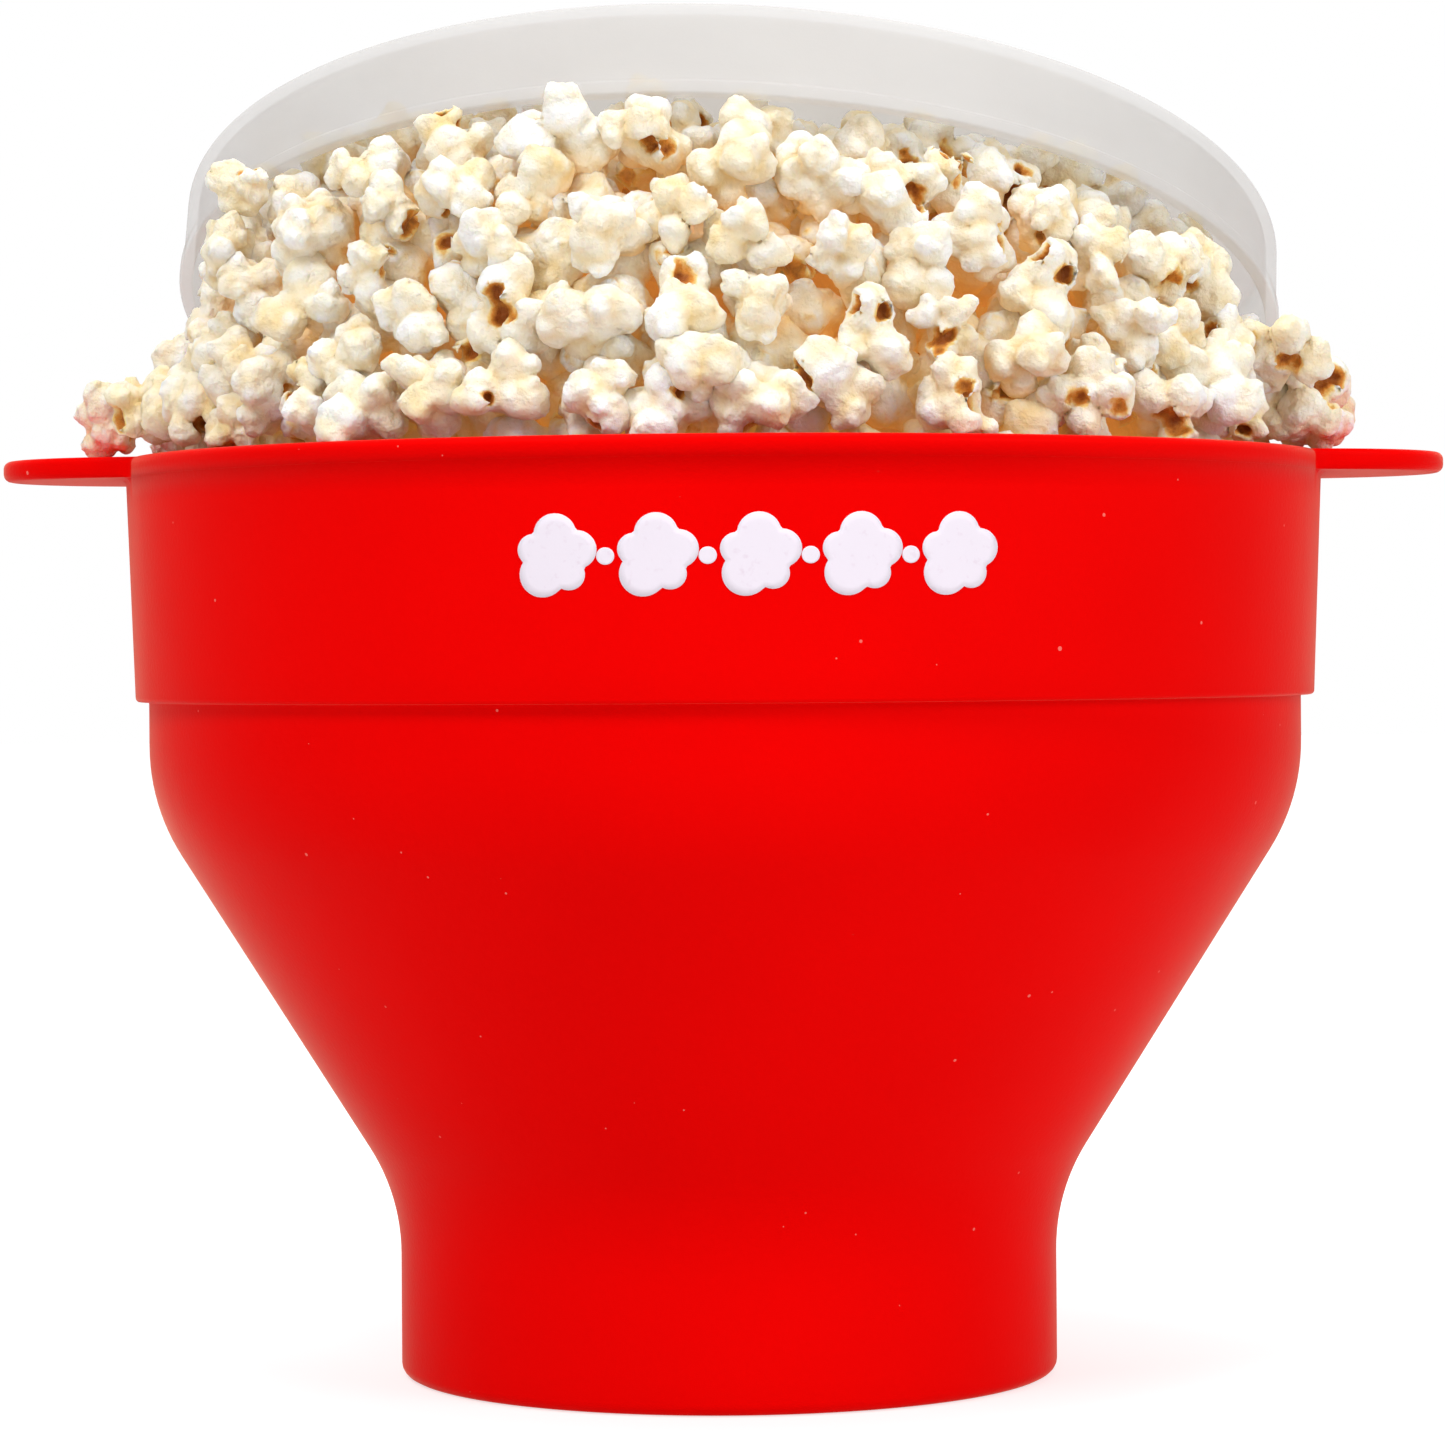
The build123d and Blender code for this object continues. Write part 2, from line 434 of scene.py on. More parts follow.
def shaped_by(tree, name, start, **values):
    """The plain mesh that a Geometry Nodes tree makes from a starting mesh."""
    starter = bpy.data.objects.new(name, start)
    bpy.context.scene.collection.objects.link(starter)
    modifier = starter.modifiers.new(name, "NODES")
    modifier.node_group = tree
    for item in tree.interface.items_tree:
        key = item.name.replace(" ", "_")
        if item.in_out == "INPUT" and key in values:
            modifier[item.identifier] = values[key]
    graph = bpy.context.evaluated_depsgraph_get()
    mesh = bpy.data.meshes.new_from_object(starter.evaluated_get(graph))
    starter.modifiers.remove(modifier)
    bpy.data.objects.remove(starter)
    mesh.name = name
    return mesh


def band_print_tree():
    """Repeats a flat mark along X and wraps the row round the front of the band."""
    tree, given, out = shape_tree(
        "band_print",
        [
            ("Marks", "NodeSocketInt"),
            ("Pitch", "NodeSocketFloat"),
            ("Middle", "NodeSocketVector"),
            ("Band Radius", "NodeSocketFloat"),
            ("Band Slope", "NodeSocketFloat"),
            ("Ink", "NodeSocketMaterial"),
        ],
    )
    link = tree.links.new
    row = node(tree, "GeometryNodeMeshLine")
    step = node(tree, "ShaderNodeCombineXYZ")
    link(given.outputs["Marks"], row.inputs["Count"])
    link(given.outputs["Pitch"], step.inputs["X"])
    link(step.outputs[0], row.inputs["Offset"])
    last = calculated(tree, "SUBTRACT", given.outputs["Marks"], 1.0)
    back = calculated(tree, "MULTIPLY", last, given.outputs["Pitch"])
    half = calculated(tree, "MULTIPLY", back, -0.5)
    first = node(tree, "ShaderNodeCombineXYZ")
    link(half, first.inputs["X"])
    start = node(tree, "ShaderNodeVectorMath", operation="ADD")
    link(first.outputs[0], start.inputs[0])
    link(given.outputs["Middle"], start.inputs[1])
    link(start.outputs[0], row.inputs["Start Location"])
    marks = node(tree, "GeometryNodeInstanceOnPoints")
    link(row.outputs["Mesh"], marks.inputs["Points"])
    link(given.outputs["Geometry"], marks.inputs["Instance"])
    real = node(tree, "GeometryNodeRealizeInstances")
    link(marks.outputs["Instances"], real.inputs["Geometry"])
    here = node(tree, "GeometryNodeInputPosition")
    flat = node(tree, "ShaderNodeSeparateXYZ")
    link(here.outputs[0], flat.inputs[0])
    climb = calculated(tree, "MULTIPLY", flat.outputs["Z"], given.outputs["Band Slope"])
    skin = calculated(tree, "ADD", given.outputs["Band Radius"], climb)
    radius = calculated(tree, "SUBTRACT", skin, flat.outputs["Y"])
    turn = calculated(tree, "DIVIDE", flat.outputs["X"], given.outputs["Band Radius"])
    across = calculated(tree, "MULTIPLY", calculated(tree, "SINE", turn, 0.0), radius)
    ahead = calculated(tree, "MULTIPLY", calculated(tree, "COSINE", turn, 0.0), radius)
    wrapped = node(tree, "ShaderNodeCombineXYZ")
    link(across, wrapped.inputs["X"])
    link(calculated(tree, "MULTIPLY", ahead, -1.0), wrapped.inputs["Y"])
    link(flat.outputs["Z"], wrapped.inputs["Z"])
    moved = node(tree, "GeometryNodeSetPosition")
    link(real.outputs["Geometry"], moved.inputs["Geometry"])
    link(wrapped.outputs[0], moved.inputs["Position"])
    inked = node(tree, "GeometryNodeSetMaterial")
    link(moved.outputs["Geometry"], inked.inputs["Geometry"])
    link(given.outputs["Ink"], inked.inputs["Material"])
    link(inked.outputs["Geometry"], out.inputs["Geometry"])
    return tree


def puff_edge(turn, radius, lobes):
    """How far a puff's edge stands from its middle: lobes of uneven size in a ring."""
    reach = 0
    for k in range(lobes):
        off = turn - math.tau * k / lobes
        size = radius * (0.44 + 0.09 * math.sin(2.4 * k + 0.6))
        out = radius * 0.52
        side = out * math.sin(off)
        if abs(side) < size:
            reach = max(reach, out * math.cos(off) + math.sqrt(size**2 - side**2))
    return reach


def flat_mark(name, radius, lobes):
    """A flat mark in the XZ plane, round or puffed: its face is at -Y, its edge runs back."""
    around, rings = 72, 5
    verts = [(0, -INK_THICKNESS, 0)]
    for level in range(1, rings + 2):
        share = min(level, rings) / rings
        for i in range(around):
            turn = math.tau * i / around
            reach = share * (puff_edge(turn, radius, lobes) if lobes else radius)
            y = -INK_THICKNESS if level <= rings else INK_THICKNESS
            verts.append((reach * math.sin(turn), y, reach * math.cos(turn)))
    faces = [(0, 1 + (i + 1) % around, 1 + i) for i in range(around)]
    for level in range(rings):
        low, high = 1 + level * around, 1 + (level + 1) * around
        for i in range(around):
            j = (i + 1) % around
            faces.append((low + i, low + j, high + j, high + i))
    mesh = bpy.data.meshes.new(name)
    mesh.from_pydata(verts, [], faces)
    return mesh


def white_ink():
    """Opaque pad-printing ink, a touch cool, that lets a little of the skin's grain show."""
    material, tree, shader = new_material("white_ink", IOR=1.45, Specular_IOR_Level=0.3)
    skin = placed_group(
        tree, MOULDED_SKIN, Grain_Size=1500.0, Grain_Depth=0.12, Wave_Depth=0.5,
        Roughness=0.5, Roughness_Spread=0.1,
    )
    place = node(tree, "ShaderNodeTexCoord")
    wear = node(tree, "ShaderNodeTexNoise", {"Scale": 900.0, "Detail": 2.0})
    tree.links.new(place.outputs["Object"], wear.inputs["Vector"])
    ink = node(tree, "ShaderNodeValToRGB")
    ink.color_ramp.elements[0].position = 0.2
    ink.color_ramp.elements[0].color = (0.80, 0.70, 0.80, 1)
    ink.color_ramp.elements[1].position = 0.4
    ink.color_ramp.elements[1].color = (0.86, 0.79, 0.88, 1)
    tree.links.new(wear.outputs["Fac"], ink.inputs["Fac"])
    tree.links.new(ink.outputs["Color"], shader.inputs["Base Color"])
    tree.links.new(skin.outputs["Roughness"], shader.inputs["Roughness"])
    bump_from(tree, shader, skin.outputs["Height"], 0.1 * MM)
    return material


BAND_SLOPE = (RIM_RADIUS - BAND_FOOT_RADIUS) / (RIM_TOP - STEP_HEIGHT)
BAND_PRINT = band_print_tree()
WHITE_INK = white_ink()
for name, radius, lobes, marks in (
    ("printed_puffs", PUFF_RADIUS, 5, 5),
    ("printed_dots", DOT_RADIUS, 0, 4),
):
    row = shaped_by(
        BAND_PRINT,
        name,
        flat_mark(name + "_flat", radius, lobes),
        Marks=marks,
        Pitch=PRINT_PITCH,
        Middle=(PRINT_SHIFT, 0, PRINT_MIDDLE),
        Band_Radius=BAND_FOOT_RADIUS - STEP_HEIGHT * BAND_SLOPE,
        Band_Slope=BAND_SLOPE,
        Ink=WHITE_INK,
    )
    printed = finished(row, WHITE_INK)
    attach(printed, "band")


# ---------------------------------------------------------------------------------------
# The popcorn: butterfly kernels, each burst inside out into four to six soft lobes round
# the amber hull, heaped loose in the bowl up to the lid and over the rim at the sides.
# ---------------------------------------------------------------------------------------

KERNEL_KINDS = 22
BURIED_KINDS = 10
HEAP_FOOT = RIM_TOP - 1 * MM
HEAP_REACH = 90 * MM
HEAP_FLAT = 48 * MM
HEAP_CROWN = 51 * MM
HEAP_LEAN = 6 * MM
LID_TILT = math.radians(-18.7)
LID_LEAN = math.radians(3)
LID_BACK_SHIFT = 20 * MM
LID_HOOK = 3.6 * MM
LID_RISE = (LID_BACK_SHIFT - RIM_RADIUS) * math.tan(LID_TILT) - LID_HOOK
LID_CENTRE = Vector((1 * MM, LID_BACK_SHIFT, RIM_TOP + LID_RISE))


def net_mesh(name, values, low, cell):
    """A closed mesh over the zero level of values on a cubic grid; below 0 is inside."""
    cells = tuple(n - 1 for n in values.shape)
    spots = np.zeros(cells + (3,))
    hits = np.zeros(cells)
    units = np.eye(3, dtype=int)
    for axis, corner in ((a, c) for a in range(3) for c in np.ndindex(2, 2, 2)):
        if corner[axis]:
            continue
        near = values[tuple(slice(s, s + n) for s, n in zip(corner, cells))]
        ahead = units[axis] + corner
        far = values[tuple(slice(s, s + n) for s, n in zip(ahead, cells))]
        crossed = (near < 0) != (far < 0)
        share = np.where(crossed, near / np.where(crossed, near - far, 1), 0)
        spots += crossed[..., None] * (np.array(corner) + share[..., None] * units[axis])
        hits += crossed
    used = hits > 0
    number = np.full(cells, -1)
    number[used] = np.arange(used.sum())
    verts = low + cell * (np.argwhere(used) + spots[used] / hits[used][:, None])
    faces = []
    for axis in range(3):
        side, up = units[(axis + 1) % 3], units[(axis + 2) % 3]
        count = values.shape[axis]
        first = np.take(values, range(count - 1), axis) < 0
        second = np.take(values, range(1, count), axis) < 0
        edge = np.argwhere(first != second)
        turns = ((0, 0), (1, 0), (1, 1), (0, 1))
        ring = [number[tuple((edge - s * side - u * up).T)] for s, u in turns]
        quads = np.stack(ring, axis=1)
        inward = second[tuple(edge.T)]
        quads[inward] = quads[inward][:, ::-1]
        faces += quads.tolist()
    mesh = bpy.data.meshes.new(name)
    mesh.from_pydata(verts.tolist(), [], faces)
    mesh.update()
    return mesh, verts


def merged_distance(distances, softness):
    """One distance from many, with the meeting lines rounded by softness."""
    least = np.min(distances, axis=0)
    spread = np.exp(-(distances - least) / softness).sum(axis=0)
    return least - softness * np.log(spread)


def puffed_kernel(number, cell):
    """One burst kernel, in millimetres while it is worked out: lobes on a small core, each
    with smaller swellings, and pockets at its base where the hull shows."""
    rng = np.random.default_rng(4200 + number)

    def direction(near=None, spread=1.0):
        way = rng.normal(size=3)
        if near is not None:
            way = near + spread * way / np.linalg.norm(way)
        return way / np.linalg.norm(way)

    base = direction()
    balls = [(base * 0.4, 3.2, base, 1.0)]
    lobes = int(rng.integers(4, 7))
    ways = []
    while len(ways) < lobes:
        way = direction(-0.25 * base, 1.0)
        if all(way @ other < 0.45 for other in ways) or rng.random() < 0.02:
            ways.append(way)
    for way in ways:
        size = rng.uniform(2.9, 4.5)
        centre = way * rng.uniform(2.9, 4.5)
        balls.append((centre, size, direction(), rng.uniform(0.75, 1.0)))
        for _ in range(int(rng.integers(2, 6))):
            out = direction(way, 1.0)
            swelling = rng.uniform(0.42, 0.68) * size
            balls.append((centre + out * (size - 0.45 * swelling), swelling, out, 1.0))
    phases = rng.uniform(0, math.tau, (4, 3))
    seeds = rng.uniform(-8.5, 8.5, (150, 3))

    def shape(points, softness):
        bent = points + 0.32 * np.sin(0.95 * points[:, [1, 2, 0]] + phases[0])
        bent = bent + 0.13 * np.sin(2.6 * bent[:, [2, 0, 1]] + phases[1])
        parts = []
        for centre, size, axis, squash in balls:
            away = bent - centre
            away = away + (1 / squash - 1) * (away @ axis)[:, None] * axis
            parts.append(np.linalg.norm(away, axis=1) - size)
        return merged_distance(np.array(parts), softness)

    def puckered(points):
        body = shape(points, 0.2)
        near = np.abs(body) < 2.5
        gaps = np.linalg.norm(points[near][:, None] - seeds[None], axis=2)
        gaps.partition(1, axis=1)
        body[near] += 0.55 * np.exp(-(gaps[:, 1] - gaps[:, 0]) / 0.5) - 0.1
        return body

    pockets = []
    for _ in range(int(rng.integers(1, 4))):
        way = direction(base, 0.7)
        ray = way * np.arange(1, 11, 0.25)[:, None]
        skin = 1 + 0.25 * np.flatnonzero(shape(ray, 0.2) < 0).max(initial=8)
        size = rng.uniform(1.5, 2.6)
        pockets.append((way * (skin - 0.25 * size), size, direction(), rng.uniform(1.2, 2.0)))

    def hollowed(points):
        body = puckered(points)
        torn = points + 0.45 * np.sin(1.9 * points[:, [1, 2, 0]] + phases[3])
        for centre, size, axis, stretch in pockets:
            away = torn - centre
            away = away + (1 / stretch - 1) * (away @ axis)[:, None] * axis
            body = np.maximum(body, size / stretch**0.4 - np.linalg.norm(away, axis=1))
        return body

    line = np.arange(-12.4, 12.4, cell)
    grid = np.stack(np.meshgrid(line, line, line, indexing="ij"), axis=-1)
    values = hollowed(grid.reshape(-1, 3)).reshape(grid.shape[:3])
    mesh, verts = net_mesh(f"kernel_{number}", values, line[0], cell)
    sunk = np.clip(-(puckered(verts) + 0.12) / 2.2, 0, 1)
    # Where lobes meet: the amount of painted shade in the folds, which the corn material paints as a
    # yellow tint.
    painted_fold_shade = np.clip((shape(verts, 0.2) - shape(verts, 1.1) - 0.5) / 1.2, 0, 1)
    for label, amount in (("hull", sunk), ("crease", painted_fold_shade)):
        layer = mesh.attributes.new(label, "FLOAT", "POINT")
        layer.data.foreach_set("value", amount.astype(np.float32))
    mesh.transform(Matrix.Scale(MM, 4))
    return mesh


def kernel_bin(name, kinds, first, cell):
    """A collection of kernels, each a different shape, for the heap to draw from."""
    made = bpy.data.collections.new(name)
    for number in range(first, first + kinds):
        mesh = puffed_kernel(number, cell)
        made.objects.link(bpy.data.objects.new(mesh.name, mesh))
    return made


def heap_height(x, y):
    """The height of the topmost kernel centres: a crowned heap, a little higher at the left,
    that stops under the lid's skirt and fills its hollow."""
    out = math.hypot(x, y)
    t = min(1.0, max(0.0, out - HEAP_FLAT) / (HEAP_REACH - HEAP_FLAT))
    crown = HEAP_CROWN - HEAP_LEAN * math.tanh(x / (40 * MM))
    free = HEAP_FOOT + crown * (1 - t**4) ** 0.8
    plane = LID_CENTRE.z + (y - LID_CENTRE.y) * math.tan(LID_TILT) - x * math.tan(LID_LEAN)
    under = math.hypot(x - LID_CENTRE.x, (y - LID_CENTRE.y) / math.cos(LID_TILT))
    if under > 101 * MM:
        return free
    if under > 84 * MM:
        return min(free, plane - 6 * MM)
    return min(free, plane + 6.2 * MM)


def heap_mesh(name, reach, sink):
    """The heap's surface, or one inside it, smaller by reach and lowered by sink. It
    spreads a little further at the handles than at the front and back."""
    rings, around = 26, 72
    verts = [(0, 0, heap_height(0, 0) - sink)]
    for k in range(1, rings + 1):
        for i in range(around):
            turn = math.tau * i / around
            wide = 1 + 0.06 * math.cos(turn) ** 2
            x, y = k / rings * wide * math.cos(turn), k / rings * wide * math.sin(turn)
            height = heap_height(x * HEAP_REACH, y * HEAP_REACH) - sink
            verts.append((x * reach, y * reach, height))
    faces = [(0, 1 + i, 1 + (i + 1) % around) for i in range(around)]
    for k in range(rings - 1):
        low, high = 1 + k * around, 1 + (k + 1) * around
        for i in range(around):
            j = (i + 1) % around
            faces.append((low + i, high + i, high + j, low + j))
    mesh = bpy.data.meshes.new(name)
    mesh.from_pydata(verts, [], faces)
    return mesh


def strewn_kernels_tree():
    """Strews kernels over a sheet, never closer than a spacing, each turned its own way.
    Those past the rim's inside are lifted to lie on the rim and the handles. Only every nth
    kernel is kept, so a heap can be made in lots."""
    tree, given, out = shape_tree(
        "strewn_kernels",
        [
            ("Kernels", "NodeSocketCollection"),
            ("Spacing", "NodeSocketFloat"),
            ("Smallest", "NodeSocketFloat"),
            ("Largest", "NodeSocketFloat"),
            ("Depth", "NodeSocketFloat"),
            ("Lots", "NodeSocketInt"),
            ("Lot", "NodeSocketInt"),
            ("Seed", "NodeSocketInt"),
            ("Corn", "NodeSocketMaterial"),
        ],
    )
    link = tree.links.new
    strewn = node(
        tree, "GeometryNodeDistributePointsOnFaces", {"Density Max": 60000.0},
        distribute_method="POISSON",
    )
    link(given.outputs["Geometry"], strewn.inputs["Mesh"])
    link(given.outputs["Spacing"], strewn.inputs["Distance Min"])
    link(given.outputs["Seed"], strewn.inputs["Seed"])
    index = node(tree, "GeometryNodeInputIndex")
    lot = calculated(tree, "MODULO", index.outputs[0], given.outputs["Lots"])
    other = node(tree, "FunctionNodeCompare", {"Epsilon": 0.5}, operation="NOT_EQUAL")
    link(lot, other.inputs[0])
    link(given.outputs["Lot"], other.inputs[1])
    kept = node(tree, "GeometryNodeDeleteGeometry")
    link(strewn.outputs["Points"], kept.inputs["Geometry"])
    link(other.outputs[0], kept.inputs["Selection"])
    spot = node(tree, "GeometryNodeInputPosition")
    level = node(tree, "ShaderNodeVectorMath", {1: (1, 1, 0)}, operation="MULTIPLY")
    link(spot.outputs[0], level.inputs[0])
    from_axis = node(tree, "ShaderNodeVectorMath", operation="LENGTH")
    link(level.outputs[0], from_axis.inputs[0])
    past = calculated(tree, "SUBTRACT", from_axis.outputs["Value"], RIM_RADIUS - 12.5 * MM)
    beyond = calculated(tree, "MAXIMUM", past, 0.0)
    rise = node(tree, "ShaderNodeCombineXYZ")
    link(calculated(tree, "MULTIPLY", beyond, 1.6), rise.inputs["Z"])
    lifted = node(tree, "GeometryNodeSetPosition")
    link(kept.outputs["Geometry"], lifted.inputs["Geometry"])
    link(rise.outputs[0], lifted.inputs["Offset"])
    shapes = node(
        tree, "GeometryNodeCollectionInfo", {"Separate Children": True, "Reset Children": True}
    )
    link(given.outputs["Kernels"], shapes.inputs["Collection"])
    pick = node(tree, "FunctionNodeRandomValue", {"Min": 0.0, "Max": 1000.0}, data_type="FLOAT")
    link(given.outputs["Seed"], pick.inputs["Seed"])
    turn = node(tree, "FunctionNodeRandomValue", {0: (0, 0, 0), 1: (math.tau,) * 3},
                data_type="FLOAT_VECTOR")
    link(given.outputs["Seed"], turn.inputs["Seed"])
    size = node(tree, "FunctionNodeRandomValue", data_type="FLOAT")
    link(given.outputs["Smallest"], size.inputs[2])
    link(given.outputs["Largest"], size.inputs[3])
    link(calculated(tree, "ADD", given.outputs["Seed"], 7.0), size.inputs["Seed"])
    put = node(tree, "GeometryNodeInstanceOnPoints", {"Pick Instance": True})
    link(lifted.outputs["Geometry"], put.inputs["Points"])
    link(shapes.outputs[0], put.inputs["Instance"])
    link(pick.outputs[1], put.inputs["Instance Index"])
    link(turn.outputs[0], put.inputs["Rotation"])
    link(size.outputs[1], put.inputs["Scale"])
    tone = node(tree, "FunctionNodeRandomValue", data_type="FLOAT")
    link(calculated(tree, "ADD", given.outputs["Seed"], 13.0), tone.inputs["Seed"])
    toned = node(tree, "GeometryNodeStoreNamedAttribute", {"Name": "tone"}, domain="INSTANCE",
                 data_type="FLOAT")
    link(put.outputs["Instances"], toned.inputs["Geometry"])
    link(tone.outputs[1], toned.inputs["Value"])
    real = node(tree, "GeometryNodeRealizeInstances")
    link(toned.outputs["Geometry"], real.inputs["Geometry"])
    # How deep each point lies under the sheet, plus the layer's Depth, stored as depth: the corn
    # material paints shade and a glow from it.
    here = node(tree, "GeometryNodeInputPosition")
    nearest = node(tree, "GeometryNodeProximity", target_element="FACES")
    link(given.outputs["Geometry"], nearest.inputs[0])
    below = node(tree, "ShaderNodeVectorMath", operation="SUBTRACT")
    link(nearest.outputs["Position"], below.inputs[0])
    link(here.outputs[0], below.inputs[1])
    outwards = node(tree, "ShaderNodeVectorMath", {1: (0, 0, STEP_HEIGHT)}, operation="SUBTRACT")
    link(here.outputs[0], outwards.inputs[0])
    ray = node(tree, "ShaderNodeVectorMath", operation="NORMALIZE")
    link(outwards.outputs[0], ray.inputs[0])
    sunk = node(tree, "ShaderNodeVectorMath", operation="DOT_PRODUCT")
    link(below.outputs[0], sunk.inputs[0])
    link(ray.outputs[0], sunk.inputs[1])
    share = calculated(tree, "DIVIDE", sunk.outputs["Value"], 7.5 * MM)
    total = calculated(tree, "ADD", share, given.outputs["Depth"])
    total.node.use_clamp = True
    deep = node(tree, "GeometryNodeStoreNamedAttribute", {"Name": "depth"}, domain="POINT",
                data_type="FLOAT")
    link(real.outputs["Geometry"], deep.inputs["Geometry"])
    link(total, deep.inputs["Value"])
    corn = node(tree, "GeometryNodeSetMaterial")
    link(deep.outputs["Geometry"], corn.inputs["Geometry"])
    link(given.outputs["Corn"], corn.inputs["Material"])
    link(corn.outputs["Geometry"], out.inputs["Geometry"])
    return tree


def popped_corn():
    """Cream starch foam with a thin amber to brown hull. Painted shade tints its folds yellow and the
    kernels deep in the heap amber, and a weak painted amber glow there stands in for light coming
    through from above."""
    material, tree, shader = new_material(
        "popped_corn",
        IOR=1.35,
        Specular_IOR_Level=0.25,
        Subsurface_Weight=0.3,
        Subsurface_Radius=(1.0, 0.75, 0.42),
        Subsurface_Scale=2.2 * MM,
        Emission_Strength=0.21,
    )
    link = tree.links.new
    place = node(tree, "ShaderNodeTexCoord")

    def attribute(name):
        return node(tree, "ShaderNodeAttribute", attribute_name=name).outputs["Fac"]

    def blended(amount, below, above):
        made = node(tree, "ShaderNodeMix", data_type="RGBA")
        link(amount, made.inputs[0])
        for slot, value in ((6, below), (7, above)):
            if isinstance(value, tuple):
                made.inputs[slot].default_value = value
            else:
                link(value, made.inputs[slot])
        return made.outputs[2]

    blotch = node(tree, "ShaderNodeTexNoise", {"Scale": 260.0, "Detail": 2.0})
    link(place.outputs["Object"], blotch.inputs["Vector"])
    cream = node(tree, "ShaderNodeValToRGB")
    cream.color_ramp.elements[0].position = 0.3
    cream.color_ramp.elements[0].color = (0.95, 0.90, 0.76, 1)
    cream.color_ramp.elements[1].position = 0.52
    cream.color_ramp.elements[1].color = (0.99, 0.98, 0.95, 1)
    mottled = calculated(tree, "MULTIPLY_ADD", attribute("tone"), 0.34)
    link(blotch.outputs["Fac"], mottled.node.inputs[2])
    shifted = calculated(tree, "SUBTRACT", mottled, 0.1)
    link(shifted, cream.inputs["Fac"])
    # Painted shade: the folds are tinted yellow.
    painted_fold_shade = blended(attribute("crease"), cream.outputs["Color"], (0.90, 0.70, 0.36, 1))
    # Painted shade: the kernels deep in the heap are tinted amber.
    painted_deep_shade = blended(attribute("depth"), painted_fold_shade, (0.88, 0.51, 0.14, 1))
    # Painted glow: a weak amber emission deep in the heap, no lamp, stands in for light coming through
    # from above.
    painted_glow = blended(attribute("depth"), (0.0, 0.0, 0.0, 1), (0.9, 0.49, 0.11, 1))
    link(painted_glow, shader.inputs["Emission Color"])
    streak = node(tree, "ShaderNodeTexNoise", {"Scale": 520.0, "Detail": 3.0, "Roughness": 0.7})
    link(place.outputs["Object"], streak.inputs["Vector"])
    uneven = calculated(tree, "MULTIPLY_ADD", streak.outputs["Fac"], 0.7)
    link(attribute("hull"), uneven.node.inputs[2])
    hull = node(tree, "ShaderNodeValToRGB")
    hull.color_ramp.elements[0].position = 0.38
    hull.color_ramp.elements[0].color = (0.93, 0.68, 0.26, 1)
    hull.color_ramp.elements[1].position = 0.95
    hull.color_ramp.elements[1].color = (0.33, 0.09, 0.015, 1)
    middle = hull.color_ramp.elements.new(0.62)
    middle.color = (0.72, 0.29, 0.045, 1)
    link(calculated(tree, "MULTIPLY", uneven, 0.85), hull.inputs["Fac"])
    edge = node(tree, "ShaderNodeMapRange", {"From Min": 0.02, "From Max": 0.16})
    link(attribute("hull"), edge.inputs["Value"])
    link(blended(edge.outputs["Result"], painted_deep_shade, hull.outputs["Color"]), shader.inputs["Base Color"])
    gloss = node(tree, "ShaderNodeMapRange", {"To Min": 0.85, "To Max": 0.35})
    link(edge.outputs["Result"], gloss.inputs["Value"])
    link(gloss.outputs["Result"], shader.inputs["Roughness"])
    crumple = node(tree, "ShaderNodeTexNoise", {"Scale": 620.0, "Detail": 4.0, "Roughness": 0.6})
    link(place.outputs["Object"], crumple.inputs["Vector"])
    petals = node(tree, "ShaderNodeTexVoronoi", {"Scale": 420.0}, feature="SMOOTH_F1")
    link(place.outputs["Object"], petals.inputs["Vector"])
    relief = calculated(tree, "MULTIPLY_ADD", petals.outputs["Distance"], -1.2)
    link(crumple.outputs["Fac"], relief.node.inputs[2])
    bump_from(tree, shader, relief, 0.9 * MM)
    return material


POPPED_CORN = popped_corn()
STREWN_KERNELS = strewn_kernels_tree()
whole_kernels = kernel_bin("whole_kernels", KERNEL_KINDS, 0, 0.74)
buried_kernels = kernel_bin("buried_kernels", BURIED_KINDS, 100, 1.2)
# name, kernels, reach, sink, spacing in mm, smallest, largest, depth, lots, seed
layers = [
    ("popcorn_top", whole_kernels, HEAP_REACH, 0.0, 11.0, 0.78, 1.08, 0.0, 6, 11),
    ("popcorn_middle", buried_kernels, 84 * MM, 7.5 * MM, 10.2, 0.85, 1.1, 0.55, 2, 23),
    ("popcorn_under", buried_kernels, 82 * MM, 15 * MM, 12.0, 0.95, 1.15, 0.9, 2, 37),
]
for title, kernels, reach, sink, spacing, least, most, depth, lots, seed in layers:
    for lot in range(lots):
        heap = shaped_by(
            STREWN_KERNELS,
            f"{title}_{lot + 1}",
            heap_mesh(title + "_sheet", reach, sink),
            Kernels=kernels,
            Spacing=spacing * MM,
            Smallest=least,
            Largest=most,
            Depth=depth,
            Lots=lots,
            Lot=lot,
            Seed=seed,
            Corn=POPPED_CORN,
        )
        corn = finished(heap, POPPED_CORN)
        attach(corn, "band")


def loose_kernels(name, places):
    """Single kernels, each at a listed place. Each place is x, y, the height of the kernel's lowest
    point, all in millimetres, and a size."""
    work = bmesh.new()
    for number, (x, y, z, size) in enumerate(places):
        lying = bpy.data.meshes[f"kernel_{3 * number % KERNEL_KINDS}"].copy()
        turn = Euler((1.7 * number, 2.3 * number + 0.4, 0.9 * number)).to_matrix().to_4x4()
        lying.transform(turn @ Matrix.Scale(size, 4))
        lowest = min(vertex.co.z for vertex in lying.vertices)
        lying.transform(Matrix.Translation((x * MM, y * MM, z * MM - lowest)))
        work.from_mesh(lying)
    mesh = bpy.data.meshes.new(name)
    work.to_mesh(mesh)
    work.free()
    return mesh


